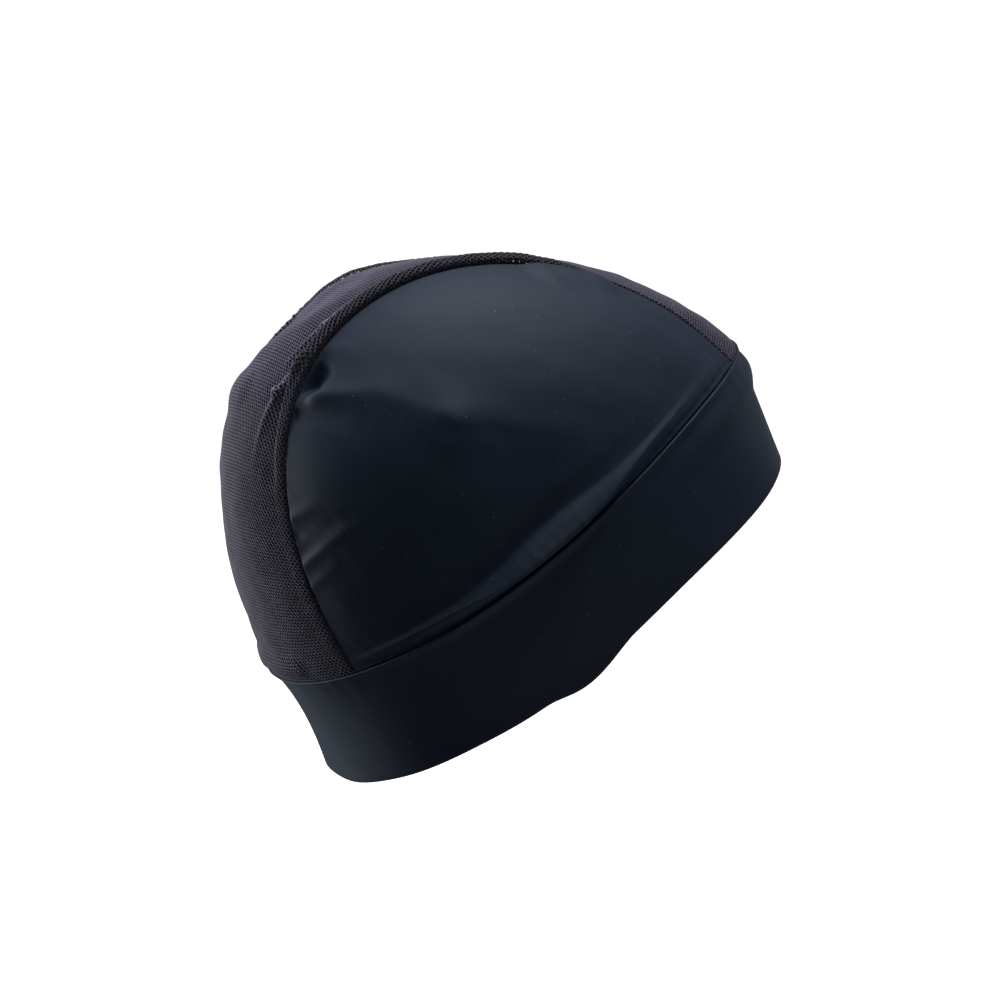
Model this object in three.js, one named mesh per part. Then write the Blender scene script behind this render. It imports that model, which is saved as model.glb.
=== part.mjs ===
// A helmet liner cap: a stretch skull cap sewn from a mesh strip that runs over the head
// from the forehead to the nape, a smooth side panel on each side of it, and a folded head band.
// Millimetres, +Z up. The forehead faces -Y, the wearer's left is +X and the right is -X.
// The origin is where the cap sits on the head: the highest point of the inside of the crown.
import * as THREE from 'three';

// Driving dimensions in millimetres
const crownHalfWidth = 77; // from the mid-plane to the side of the crown
const crownReach = 98; // from the middle of the cap to the crown, which the profile rows follow
const stripHalfWidth = 26; // half of the mesh strip, which the strip rows follow
const bandHeight = 41.8; // head band from its seam to its folded rim, at the front and at the back
const rimTuck = 4.4; // how far each side of the rim lies inside the side of the crown
const panelThickness = 1.2; // smooth side cloth
const meshThickness = 1.2; // mesh cloth
const bandThickness = 2.2; // two layers of side cloth, folded at the rim
const seamGap = 0.3; // clearance between two pieces along their seam
const seamRollWidth = 3.6; // mesh edge that is rolled over each long seam
const seamRollHeight = 2; // how far that roll stands proud
const puffHeight = 3.6; // fullness of each side panel, just above the band
const puffWidth = 11; // how far that fullness reaches up the panel
const foldWidth = 10; // widest fold, which the fold rows follow
const foldLift = 3.4; // highest fold, which the fold rows follow

// Directions in degrees, measured in the side view round the middle of the cap:
// 0 is straight to the front, 90 is up and 180 is straight to the back
const seamFrontAngle = 36.7; // where the band seam crosses the mid-plane at the forehead
const seamBackAngle = 212.7; // where it crosses the mid-plane at the nape
const bandLeanFront = 23.2; // how far the band leans from straight down to the front, at the forehead
const bandLeanBack = 29.7; // the same at the nape
const shoulderPlace = 0.2; // how far down the band its shoulder lies, as a share of bandHeight
const crownRowStart = 10;
const crownRowStep = 27.5;

// Control rows of the crown, one every crownRowStep degrees from front to back.
// reach is a share of crownReach, strip is a share of stripHalfWidth, and roundness is the
// power of the curve from side to side: 2 is an ellipse, and more is squarer.
const crownRows = [
  { reach: 1.19, roundness: 1.94, strip: 1.62 },
  { reach: 1.051, roundness: 2.05, strip: 1.46 },
  { reach: 0.955, roundness: 2.15, strip: 0.96 },
  { reach: 0.947, roundness: 2.23, strip: 0.75 },
  { reach: 1.013, roundness: 2.28, strip: 0.96 },
  { reach: 1.074, roundness: 2.31, strip: 1.31 },
  { reach: 0.971, roundness: 2.31, strip: 1.52 },
  { reach: 0.925, roundness: 2.29, strip: 1.79 },
  { reach: 0.997, roundness: 2.26, strip: 1.91 },
];

// Control rows of the two edges of the band, from front to back at even steps: how far the
// seam and the rim rise above a straight line in the side view, as shares of bandHeight
const edgeRows = [
  { seam: 0, rim: 0 },
  { seam: 0.07, rim: -0.02 },
  { seam: 0.02, rim: 0 },
  { seam: -0.04, rim: -0.09 },
  { seam: -0.08, rim: -0.16 },
  { seam: -0.07, rim: -0.07 },
  { seam: 0, rim: 0 },
];

// Squareness of the rim seen from above, the band's belly and its shoulder just under the seam,
// at the forehead, ear and nape. belly and shoulder are shares of bandHeight, and less than 0 is
// hollow.
const bandRows = [
  { squareness: 2.58, belly: 0.03, shoulder: 0.045 },
  { squareness: 2.4, belly: 0.03, shoulder: 0 },
  { squareness: 2.22, belly: -0.07, shoulder: 0 },
];

// Soft corners of the rim on the wearer's right, where the band has settled into a crease.
// around runs from 0 at the forehead to 1 at the nape, width is a share of that way round, and
// drop is a share of bandHeight.
const rimCorners = [
  { around: 0.555, width: 0.055, drop: 0.028 },
  { around: 0.965, width: 0.04, drop: 0.015 },
];

// Rolled edge of the mesh along each long seam: height as a share of seamRollHeight, in control
// rows at the same directions as the crown rows
const seamRollRows = [0.1, 0.15, 0.5, 1, 1, 0.95, 0.25, 0.1, 0.1];

// Folds of the mesh strip. angle is a direction in degrees, across runs from -1 at the right
// seam to 1 at the left seam, and width and lift are shares of foldWidth and foldLift.
const meshFolds = [
  { angle: 142, across: -0.89, endAngle: 162, endAcross: -0.6, width: 0.24, lift: 0.45 },
  { angle: 148, across: -0.97, endAngle: 164, endAcross: -0.86, width: 0.5, lift: -0.35 },
  { angle: 142, across: 0, endAngle: 143, endAcross: 0.95, width: 0.65, lift: -0.5 },
  { angle: 150, across: 0.1, endAngle: 150, endAcross: 0.95, width: 0.8, lift: 0.4 },
  { angle: 206, across: -0.4, endAngle: 207, endAcross: 0.9, width: 0.9, lift: 0.45 },
];

// Folds of the side panels. along runs from 0 at the forehead to 1 at the nape, down from 0 at
// the mesh seam to 1 at the band seam, and width and lift are shares of foldWidth and foldLift.
const rightFolds = [
  { along: 0.64, down: 0.02, endAlong: 0.576, endDown: 0.19, width: 0.45, lift: 0.75 },
  { along: 0.6, down: 0.03, endAlong: 0.57, endDown: 0.07, width: 0.9, lift: -0.6 },
  { along: 0.655, down: 0.02, endAlong: 0.636, endDown: 0.12, width: 0.9, lift: -0.5 },
  { along: 0.782, down: 0.1, endAlong: 0.72, endDown: 0.2, width: 0.35, lift: 0.3 },
  { along: 0.838, down: 0.02, endAlong: 0.74, endDown: 0.28, width: 0.35, lift: 0.3 },
  { along: 0.871, down: 0.02, endAlong: 0.828, endDown: 0.21, width: 0.35, lift: 0.25 },
];
const leftFolds = [
  { along: 0.63, down: 0.03, endAlong: 0.58, endDown: 0.17, width: 0.6, lift: 0.4 },
  { along: 0.84, down: 0.04, endAlong: 0.76, endDown: 0.24, width: 0.5, lift: 0.25 },
];

// Fullness above the band seam, in control rows from the front to the back of a side panel:
// height as a share of puffHeight
const puffRows = [0.1, 0.35, 0.8, 1, 1, 0.8, 0.5, 0.25, 0.1];

// Facets
const meshStations = 54;
const meshInnerColumns = 6;
const seamRollColumns = 4;
const panelStations = 34;
const panelRows = 16;
const bandStations = 80;
const bandFacetRows = 6;
const rimFacets = 4;

const radians = THREE.MathUtils.degToRad;
const degrees = THREE.MathUtils.radToDeg;
const clamp = THREE.MathUtils.clamp;
const vector = (x, y, z) => new THREE.Vector3(x, y, z);

// A smooth curve through a list of control values, where place runs from 0 to the last index:
// a uniform cubic B-spline whose ends are carried on straight
function smooth(values, place) {
  const last = values.length - 1;
  const value = (index) => {
    if (index < 0) return 2 * values[0] - values[1];
    if (index > last) return 2 * values[last] - values[last - 1];
    return values[index];
  };
  const start = clamp(Math.floor(place), 0, last - 1);
  const t = clamp(place, 0, last) - start;
  const weights = [(1 - t) ** 3, 3 * t ** 3 - 6 * t ** 2 + 4, -3 * t ** 3 + 3 * t ** 2 + 3 * t + 1, t ** 3];
  return weights.reduce((sum, weight, step) => sum + (weight / 6) * value(start - 1 + step), 0);
}

// The crown, a surface round the middle of the cap
const reachRows = crownRows.map((row) => row.reach * crownReach);
const roundnessRows = crownRows.map((row) => row.roundness);
const stripRows = crownRows.map((row) => row.strip * stripHalfWidth);
const rowPlace = (angle) => (angle - crownRowStart) / crownRowStep;
const profile = (angle) => smooth(reachRows, rowPlace(angle));
const roundness = (angle) => smooth(roundnessRows, rowPlace(angle));
const stripEdge = (angle) => smooth(stripRows, rowPlace(angle));

// Direction in degrees of a point in the side view, from -90 below the middle to 270
function directionOf(y, z) {
  const angle = degrees(Math.atan2(z, -y));
  return angle < -90 ? angle + 360 : angle;
}

// How far out a point is: 1 on the crown, less inside it
function crownLevel(point) {
  const angle = directionOf(point.y, point.z);
  const power = roundness(angle);
  const sideways = (Math.abs(point.x) / crownHalfWidth) ** power;
  return sideways + (Math.hypot(point.y, point.z) / profile(angle)) ** power;
}

// Outward direction square to the crown at a point
function crownNormal(point) {
  const step = 0.05;
  const slope = (axis) => {
    const ahead = point.clone().addScaledVector(axis, step);
    const behind = point.clone().addScaledVector(axis, -step);
    return crownLevel(ahead) - crownLevel(behind);
  };
  return vector(slope(vector(1, 0, 0)), slope(vector(0, 1, 0)), slope(vector(0, 0, 1))).normalize();
}

// Half-width of the crown over a point of the side view
function crownSide(y, z) {
  const angle = directionOf(y, z);
  const power = roundness(angle);
  const share = Math.min(1, Math.hypot(y, z) / profile(angle));
  return crownHalfWidth * (1 - share ** power) ** (1 / power);
}

// Point of the crown in a direction, at a distance x from the mid-plane
function crownPoint(angle, x) {
  const power = roundness(angle);
  const reach = profile(angle) * (1 - (Math.abs(x) / crownHalfWidth) ** power) ** (1 / power);
  return vector(x, -Math.cos(radians(angle)) * reach, Math.sin(radians(angle)) * reach);
}

// The two edges of the band. Turn runs from 0 at the forehead to PI at the nape, and side is
// -1 on the wearer's right and 1 on the left.
const seamFront = crownPoint(seamFrontAngle, 0);
const seamBack = crownPoint(seamBackAngle, 0);
const leanDown = (lean) => vector(0, -Math.sin(radians(lean)), -Math.cos(radians(lean)));
const rimFront = seamFront.clone().addScaledVector(leanDown(bandLeanFront), bandHeight);
const rimBack = seamBack.clone().addScaledVector(leanDown(bandLeanBack), bandHeight);

function edgeInSideView(front, back, rises, turn) {
  const share = (1 - Math.cos(turn)) / 2;
  const chord = back.clone().sub(front);
  const upward = vector(0, -chord.z, chord.y).normalize();
  const rise = bandHeight * smooth(rises, share * (rises.length - 1));
  return front.clone().addScaledVector(chord, share).addScaledVector(upward, rise);
}

const seamRises = edgeRows.map((row) => row.seam);
const rimRises = edgeRows.map((row) => row.rim);

function seamPoint(turn, side) {
  const point = edgeInSideView(seamFront, seamBack, seamRises, turn);
  point.x = side * crownSide(point.y, point.z);
  return point;
}

// Value of a band row column at a turn: forehead and nape values fade into the ear's
function bandValue(column, turn) {
  const [forehead, ear, nape] = bandRows.map((row) => row[column]);
  const weight = Math.cos(turn) ** 2;
  return ear + weight * ((Math.cos(turn) > 0 ? forehead : nape) - ear);
}

function rimPoint(turn, side) {
  const point = edgeInSideView(rimFront, rimBack, rimRises, turn);
  const halfWidth = crownHalfWidth - rimTuck;
  if (side < 0) {
    rimCorners.forEach((corner) => {
      point.z -= corner.drop * bandHeight * hump(turn / Math.PI - corner.around, corner.width);
    });
  }
  point.x = side * halfWidth * Math.sin(turn) ** (2 / bandValue('squareness', turn));
  return point;
}

// Turn at which the band seam lies a share of the strip's half-width away from the mid-plane,
// near the forehead or near the nape, found by halving
function seamTurnAt(share, inset, nearNape) {
  let close = nearNape ? Math.PI : 0;
  let far = Math.PI / 2;
  for (let step = 0; step < 40; step += 1) {
    const middle = (close + far) / 2;
    const point = seamPoint(middle, 1);
    const wanted = share * (stripEdge(directionOf(point.y, point.z)) + inset);
    if (point.x > wanted) far = middle;
    else close = middle;
  }
  return (close + far) / 2;
}

// Height of a smooth hump at a distance from its middle line, from 1 down to 0 at its width
const hump = (distance, width) => {
  const share = Math.min(1, Math.abs(distance) / width);
  return (1 - share * share) ** 2;
};

// Distance from a point to a straight stretch, in a flat map of the cloth
function stretchDistance(x, y, fromX, fromY, toX, toY) {
  const lengthX = toX - fromX;
  const lengthY = toY - fromY;
  const share = ((x - fromX) * lengthX + (y - fromY) * lengthY) / (lengthX ** 2 + lengthY ** 2);
  const held = clamp(share, 0, 1);
  return Math.hypot(x - fromX - held * lengthX, y - fromY - held * lengthY);
}

// A closed body between an outer and an inner sheet of points, each a list of equal rows.
// Points that fall together at a pointed corner become one, and flat facets there are left out.
function sheetBody(outer, inner) {
  const corners = [];
  const places = new Map();
  const facets = [];
  const cornerOf = (point) => {
    const key = point.toArray().map((value) => value.toFixed(3)).join();
    if (!places.has(key)) {
      places.set(key, corners.length / 3);
      corners.push(...point.toArray());
    }
    return places.get(key);
  };
  const triangle = (a, b, c) => {
    if (a !== b && b !== c && c !== a) facets.push(a, b, c);
  };
  const quad = (a, b, c, d) => {
    const [p, q, r, s] = [a, b, c, d].map(cornerOf);
    triangle(p, q, r);
    triangle(p, r, s);
  };
  const rows = outer.length - 1;
  const columns = outer[0].length - 1;
  for (let i = 0; i < rows; i += 1) {
    for (let j = 0; j < columns; j += 1) {
      quad(outer[i][j], outer[i][j + 1], outer[i + 1][j + 1], outer[i + 1][j]);
      quad(inner[i][j], inner[i + 1][j], inner[i + 1][j + 1], inner[i][j + 1]);
    }
    quad(outer[i][0], outer[i + 1][0], inner[i + 1][0], inner[i][0]);
    quad(outer[i + 1][columns], outer[i][columns], inner[i][columns], inner[i + 1][columns]);
  }
  for (let j = 0; j < columns; j += 1) {
    quad(outer[0][j + 1], outer[0][j], inner[0][j], inner[0][j + 1]);
    quad(outer[rows][j], outer[rows][j + 1], inner[rows][j + 1], inner[rows][j]);
  }
  return indexedGeometry(corners, facets);
}

// A ring whose sections are closed loops of points
function ringBody(sections) {
  const corners = sections.flatMap((section) => section.flatMap((point) => point.toArray()));
  const around = sections[0].length;
  const facets = [];
  sections.forEach((section, i) => {
    const next = (i + 1) % sections.length;
    section.forEach((point, j) => {
      const beside = (j + 1) % around;
      const [a, b] = [i * around + j, i * around + beside];
      const [c, d] = [next * around + beside, next * around + j];
      facets.push(a, c, b, a, d, c);
    });
  });
  return indexedGeometry(corners, facets);
}

function indexedGeometry(corners, facets) {
  const geometry = new THREE.BufferGeometry();
  geometry.setAttribute('position', new THREE.Float32BufferAttribute(corners, 3));
  geometry.setIndex(facets);
  geometry.computeVertexNormals();
  return geometry;
}

// Mesh strip: stations run from forehead to nape, columns from the right seam to the left seam.
// The columns close to each seam carry its rolled edge.
function meshStripGeometry() {
  const edgeInset = -seamGap / 2;
  const rollSteps = [...Array(seamRollColumns + 1).keys()].map((step) => step / seamRollColumns);
  const innerSteps = [...Array(meshInnerColumns - 1).keys()].map((step) => (step + 1) / meshInnerColumns);
  const columnX = (column, angle) => {
    const edge = stripEdge(angle) + edgeInset;
    const rolled = edge - seamRollWidth;
    if (column.roll !== undefined) return column.side * (edge - column.roll * seamRollWidth);
    return rolled * (2 * column.inner - 1);
  };
  const columns = [
    ...rollSteps.map((roll) => ({ side: -1, roll })),
    ...innerSteps.map((inner) => ({ inner })),
    ...rollSteps.toReversed().map((roll) => ({ side: 1, roll })),
  ];
  const endAngle = (column, nearNape) => {
    let angle = nearNape ? seamBackAngle : seamFrontAngle;
    for (let pass = 0; pass < 4; pass += 1) {
      const share = Math.abs(columnX(column, angle)) / (stripEdge(angle) + edgeInset);
      const point = seamPoint(seamTurnAt(share, edgeInset, nearNape), 1);
      angle = directionOf(point.y, point.z);
    }
    return angle;
  };
  const ends = columns.map((column) => [endAngle(column, false), endAngle(column, true)]);
  const outer = [];
  const inner = [];
  for (let station = 0; station <= meshStations; station += 1) {
    const outerRow = [];
    const innerRow = [];
    columns.forEach((column, index) => {
      const angle = THREE.MathUtils.lerp(ends[index][0], ends[index][1], station / meshStations);
      const x = columnX(column, angle);
      const point = crownPoint(angle, x);
      const normal = crownNormal(point);
      const fromEdge = stripEdge(angle) + edgeInset - Math.abs(x);
      const rolled = smooth(seamRollRows, rowPlace(angle)) * seamRollHeight;
      let lift = rolled * hump(fromEdge - seamRollWidth / 2, seamRollWidth / 2);
      meshFolds.forEach((fold) => {
        const mapX = (across) => across * stripEdge(angle);
        const mapY = (direction) => radians(direction) * crownReach;
        const distance = stretchDistance(
          x, mapY(angle), mapX(fold.across), mapY(fold.angle), mapX(fold.endAcross), mapY(fold.endAngle),
        );
        lift += fold.lift * foldLift * hump(distance, fold.width * foldWidth);
      });
      const fade = clamp(Math.min(station, meshStations - station) / 2, 0, 1);
      point.addScaledVector(normal, lift * fade);
      outerRow.push(point);
      innerRow.push(point.clone().addScaledVector(normal, -meshThickness));
    });
    outer.push(outerRow);
    inner.push(innerRow);
  }
  return sheetBody(outer, inner);
}

// Side panel: a D-shaped piece between the mesh seam and the band seam. Stations run from the
// front corner to the back corner, rows from the mesh seam down to the band seam.
function sidePanelGeometry(side, folds) {
  const edgeInset = seamGap / 2;
  const frontTurn = seamTurnAt(1, edgeInset, false);
  const backTurn = seamTurnAt(1, edgeInset, true);
  const corner = (turn) => {
    const point = seamPoint(turn, 1);
    return directionOf(point.y, point.z);
  };
  const [frontAngle, backAngle] = [corner(frontTurn), corner(backTurn)];
  const mapLength = radians(backAngle - frontAngle) * crownReach;
  const outer = [];
  const inner = [];
  for (let station = 0; station <= panelStations; station += 1) {
    const along = station / panelStations;
    const angle = THREE.MathUtils.lerp(frontAngle, backAngle, along);
    const top = crownPoint(angle, stripEdge(angle) + edgeInset);
    const bottom = seamPoint(THREE.MathUtils.lerp(frontTurn, backTurn, along), 1);
    const outerRow = [];
    const innerRow = [];
    for (let row = 0; row <= panelRows; row += 1) {
      const share = row / panelRows;
      const down = share * (2 - share) * 0.6 + share * 0.4;
      const y = THREE.MathUtils.lerp(top.y, bottom.y, down);
      const z = THREE.MathUtils.lerp(top.z, bottom.z, down);
      const point = row === 0 ? top.clone() : vector(crownSide(y, z), y, z);
      if (row === panelRows) point.copy(bottom);
      const normal = crownNormal(point);
      const depth = top.distanceTo(bottom);
      const fromSeam = (1 - down) * depth;
      const puff = smooth(puffRows, along * (puffRows.length - 1)) * puffHeight;
      let lift = puff * hump(fromSeam - puffWidth / 2, puffWidth / 2);
      folds.forEach((fold) => {
        const distance = stretchDistance(
          along * mapLength, down * depth,
          fold.along * mapLength, fold.down * depth,
          fold.endAlong * mapLength, fold.endDown * depth,
        );
        lift += fold.lift * foldLift * hump(distance, fold.width * foldWidth);
      });
      const fade = clamp(Math.min(station, panelStations - station) / 3, 0, 1)
        * clamp((down * depth) / seamRollWidth, 0, 1) * clamp(fromSeam / seamRollWidth, 0, 1);
      point.addScaledVector(normal, lift * fade);
      const innerPoint = point.clone().addScaledVector(normal, -panelThickness);
      outerRow.push(point.setX(side * point.x));
      innerRow.push(innerPoint.setX(side * innerPoint.x));
    }
    outer.push(outerRow);
    inner.push(innerRow);
  }
  if (side < 0) {
    outer.reverse();
    inner.reverse();
  }
  return sheetBody(outer, inner);
}

// Head band: sections round the head, each one going down the outside, round the fold of the
// rim and up the inside. The top edge is cut square to the crown, so that it meets the panels
// evenly all round.
function headBandGeometry() {
  const halfThickness = bandThickness / 2;
  const sections = [];
  for (let station = 0; station < bandStations; station += 1) {
    const round = (station / bandStations) * 2 * Math.PI;
    const side = round < Math.PI ? -1 : 1;
    const turn = round < Math.PI ? round : 2 * Math.PI - round;
    const seam = seamPoint(turn, side);
    const rim = rimPoint(turn, side);
    const nearby = 0.01;
    const sideways = rimSpan(turn, side, nearby);
    const downward = rim.clone().sub(seam);
    const height = downward.length();
    downward.normalize();
    const normal = sideways.cross(downward).normalize();
    const crownwards = crownNormal(seam);
    const belly = bandValue('belly', turn) * bandHeight;
    const shoulder = bandValue('shoulder', turn) * bandHeight;
    const outside = [];
    const inside = [];
    for (let row = 0; row <= bandFacetRows; row += 1) {
      const drop = THREE.MathUtils.lerp(seamGap, height - halfThickness, row / bandFacetRows);
      const share = drop / height;
      const point = seam.clone().addScaledVector(downward, drop);
      point.addScaledVector(normal, 4 * share * (1 - share) * belly);
      point.addScaledVector(normal, shoulder * hump(share - shoulderPlace, shoulderPlace));
      const blend = clamp((drop - seamGap) / bandThickness / 3, 0, 1);
      const across = crownwards.clone().lerp(normal, blend).normalize();
      outside.push(point);
      inside.push(point.clone().addScaledVector(across, -bandThickness));
    }
    const foldCentre = outside[bandFacetRows].clone().lerp(inside[bandFacetRows], 0.5);
    const fold = [];
    for (let facet = 1; facet < rimFacets; facet += 1) {
      const bend = (facet / rimFacets) * Math.PI;
      fold.push(foldCentre.clone()
        .addScaledVector(normal, Math.cos(bend) * halfThickness)
        .addScaledVector(downward, Math.sin(bend) * halfThickness));
    }
    sections.push([...outside, ...fold, ...inside.toReversed()]);
  }
  return ringBody(sections);
}

// Direction round the band at a turn, from the points a little before and after it
function rimSpan(turn, side, nearby) {
  const at = (offset) => {
    const shifted = turn + side * -offset;
    const crossed = shifted < 0 || shifted > Math.PI;
    const mirrored = shifted < 0 ? -shifted : 2 * Math.PI - shifted;
    const useTurn = crossed ? mirrored : shifted;
    const useSide = crossed ? -side : side;
    return seamPoint(useTurn, useSide).add(rimPoint(useTurn, useSide));
  };
  return at(nearby).sub(at(-nearby)).normalize();
}

// The highest point of the inside of the crown, where the cap sits on the head
function crownSeat() {
  let seat = crownPoint(seamFrontAngle, 0);
  for (let angle = seamFrontAngle; angle < seamBackAngle; angle += 0.25) {
    const point = crownPoint(angle, 0);
    if (point.z > seat.z) seat = point;
  }
  return seat.addScaledVector(crownNormal(seat), -meshThickness);
}

function clothPiece(name, geometry, color, roughness) {
  const material = new THREE.MeshStandardMaterial({ color, roughness, metalness: 0 });
  const piece = new THREE.Mesh(geometry, material);
  piece.name = name;
  return piece;
}

const cap = new THREE.Group();
const cloth = new THREE.Group();
cloth.position.copy(crownSeat().negate());
cloth.add(
  clothPiece('mesh_strip', meshStripGeometry(), 0x45444d, 0.8),
  clothPiece('side_panel_right', sidePanelGeometry(-1, rightFolds), 0x1b2029, 0.5),
  clothPiece('side_panel_left', sidePanelGeometry(1, leftFolds), 0x1b2029, 0.5),
  clothPiece('head_band', headBandGeometry(), 0x161a23, 0.6),
);
cap.add(cloth);

export default cap;
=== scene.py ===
"""Looks of a helmet liner cap: a mesh strip over the head, two smooth side panels and a folded band.

Every piece is a surface worked out with numpy in millimetres, in the cap's own axes round the
middle of the head: the forehead faces -Y, the wearer's left is +X and up is +Z. The origin of the
frame is the cap's seat on the head, so a mesh is moved there and into metres when it is made.
"""

import logging
import math
from dataclasses import dataclass, field
from enum import Enum

import bmesh
import bpy
import numpy as np
import numpy.typing as npt
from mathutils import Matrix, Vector


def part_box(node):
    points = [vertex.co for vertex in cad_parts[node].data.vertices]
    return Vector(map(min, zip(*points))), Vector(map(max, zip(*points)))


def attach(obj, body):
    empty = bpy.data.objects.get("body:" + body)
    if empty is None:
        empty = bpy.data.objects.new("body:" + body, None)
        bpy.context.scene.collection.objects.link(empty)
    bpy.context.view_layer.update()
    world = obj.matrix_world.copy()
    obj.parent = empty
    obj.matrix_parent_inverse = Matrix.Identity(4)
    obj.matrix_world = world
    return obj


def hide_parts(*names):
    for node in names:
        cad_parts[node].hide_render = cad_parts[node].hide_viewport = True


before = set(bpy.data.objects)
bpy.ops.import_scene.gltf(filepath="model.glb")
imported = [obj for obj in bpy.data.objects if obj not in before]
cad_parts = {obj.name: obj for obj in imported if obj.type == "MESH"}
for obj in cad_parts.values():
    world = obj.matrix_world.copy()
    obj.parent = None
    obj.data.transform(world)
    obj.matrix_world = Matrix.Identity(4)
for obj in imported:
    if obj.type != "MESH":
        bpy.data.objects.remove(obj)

Array = npt.NDArray[np.float64]
Indices = npt.NDArray[np.int64]
Pair = tuple[float, float]
Triple = tuple[float, float, float]
Colour = tuple[float, float, float, float]
Rows = tuple[float, ...]

LOG = logging.getLogger("cap")
MM = 0.001
PICTURE = 1000
CREST_ROUNDING = 0.1


class Side(Enum):
    """The wearer's two sides, as the sign of X."""

    RIGHT = -1
    LEFT = 1


class End(Enum):
    """The two ends of the mid-plane."""

    FOREHEAD = 0
    NAPE = 1


def control_curve(rows: Rows, place: Array) -> Array:
    """Follow a uniform cubic B-spline whose ends are carried on straight.

    Args:
        rows: control values at the places 0, 1, 2 and so on.
        place: where to read the curve, from 0 to the last row.

    Returns:
        The curve's value at each place.
    """
    values = np.array(rows, float)
    held = np.concatenate([[2 * values[0] - values[1]], values, [2 * values[-1] - values[-2]]])
    place = np.clip(place, 0, len(values) - 1)
    start = np.clip(np.floor(place).astype(int), 0, len(values) - 2)
    t = place - start
    weights = ((1 - t) ** 3, 3 * t**3 - 6 * t**2 + 4, -3 * t**3 + 3 * t**2 + 3 * t + 1, t**3)
    return sum(weight * held[start + step] for step, weight in enumerate(weights)) / 6


def hump(distance: Array, width: Array | float) -> Array:
    """Height of a smooth hump, (1 - (distance / width) squared) squared, and 0 past its width."""
    return (1 - np.minimum(1, np.abs(distance) / width) ** 2) ** 2


def ease(value: Array) -> Array:
    """Smooth step of a value from 0 to 1: 3 v squared - 2 v cubed."""
    held = np.clip(value, 0, 1)
    return held * held * (3 - 2 * held)


def unit(vectors: Array) -> Array:
    """Vectors scaled to length 1."""
    return vectors / np.maximum(np.linalg.norm(vectors, axis=-1, keepdims=True), 1e-12)


def ripple(u: Array, v: Array, wavelength: float, seed: int) -> Array:
    """Make a calm, irregular unevenness from seven plane waves in seeded directions.

    Args:
        u: first coordinate in millimetres.
        v: second coordinate in millimetres.
        wavelength: the mean distance from crest to crest in millimetres.
        seed: picks the directions and phases.

    Returns:
        Heights of about -1 to 1.
    """
    chance = np.random.default_rng(seed)
    total = np.zeros(np.broadcast(u, v).shape)
    waves = 7
    for _ in range(waves):
        turn, phase = chance.uniform(0, 2 * math.pi, 2)
        pitch = 2 * math.pi / (wavelength * chance.uniform(0.75, 1.4))
        total = total + np.sin(pitch * (u * math.cos(turn) + v * math.sin(turn)) + phase)
    return total / math.sqrt(waves)


@dataclass(frozen=True)
class Crease:
    """A straight fold of the cloth between two places of its panel.

    Widths and lifts are in millimetres, each at the start and at the end, and a negative lift is
    a hollow. A sharp fold has a crest that is hardly rounded.
    """

    start: Pair
    end: Pair
    widths: Pair
    lifts: Pair
    sharp: bool = False

    def height(self, u: Array, v: Array, start: tuple, end: tuple) -> Array:
        """Height of the fold over a flat map in millimetres.

        The distance to the straight stretch from start to end is taken as a share of the width
        there, and the height is the lift there times the hump of that share. For a sharp fold it
        is the lift times (1 - the share) squared.

        Args:
            u: first coordinate of the map.
            v: second coordinate of the map.
            start: the fold's start on the map, as two numbers or two arrays.
            end: the fold's end on the map, in the same way.

        Returns:
            The height at each point of the map.
        """
        run, rise = end[0] - start[0], end[1] - start[1]
        share = np.clip(((u - start[0]) * run + (v - start[1]) * rise) / (run**2 + rise**2), 0, 1)
        distance = np.hypot(u - start[0] - share * run, v - start[1] - share * rise)
        width = self.widths[0] + share * (self.widths[1] - self.widths[0])
        lift = self.lifts[0] + share * (self.lifts[1] - self.lifts[0])
        if self.sharp:
            away = np.sqrt((distance / width) ** 2 + CREST_ROUNDING**2) - CREST_ROUNDING
            return lift * (1 - np.minimum(1, away)) ** 2
        return lift * hump(distance, width)


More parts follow.
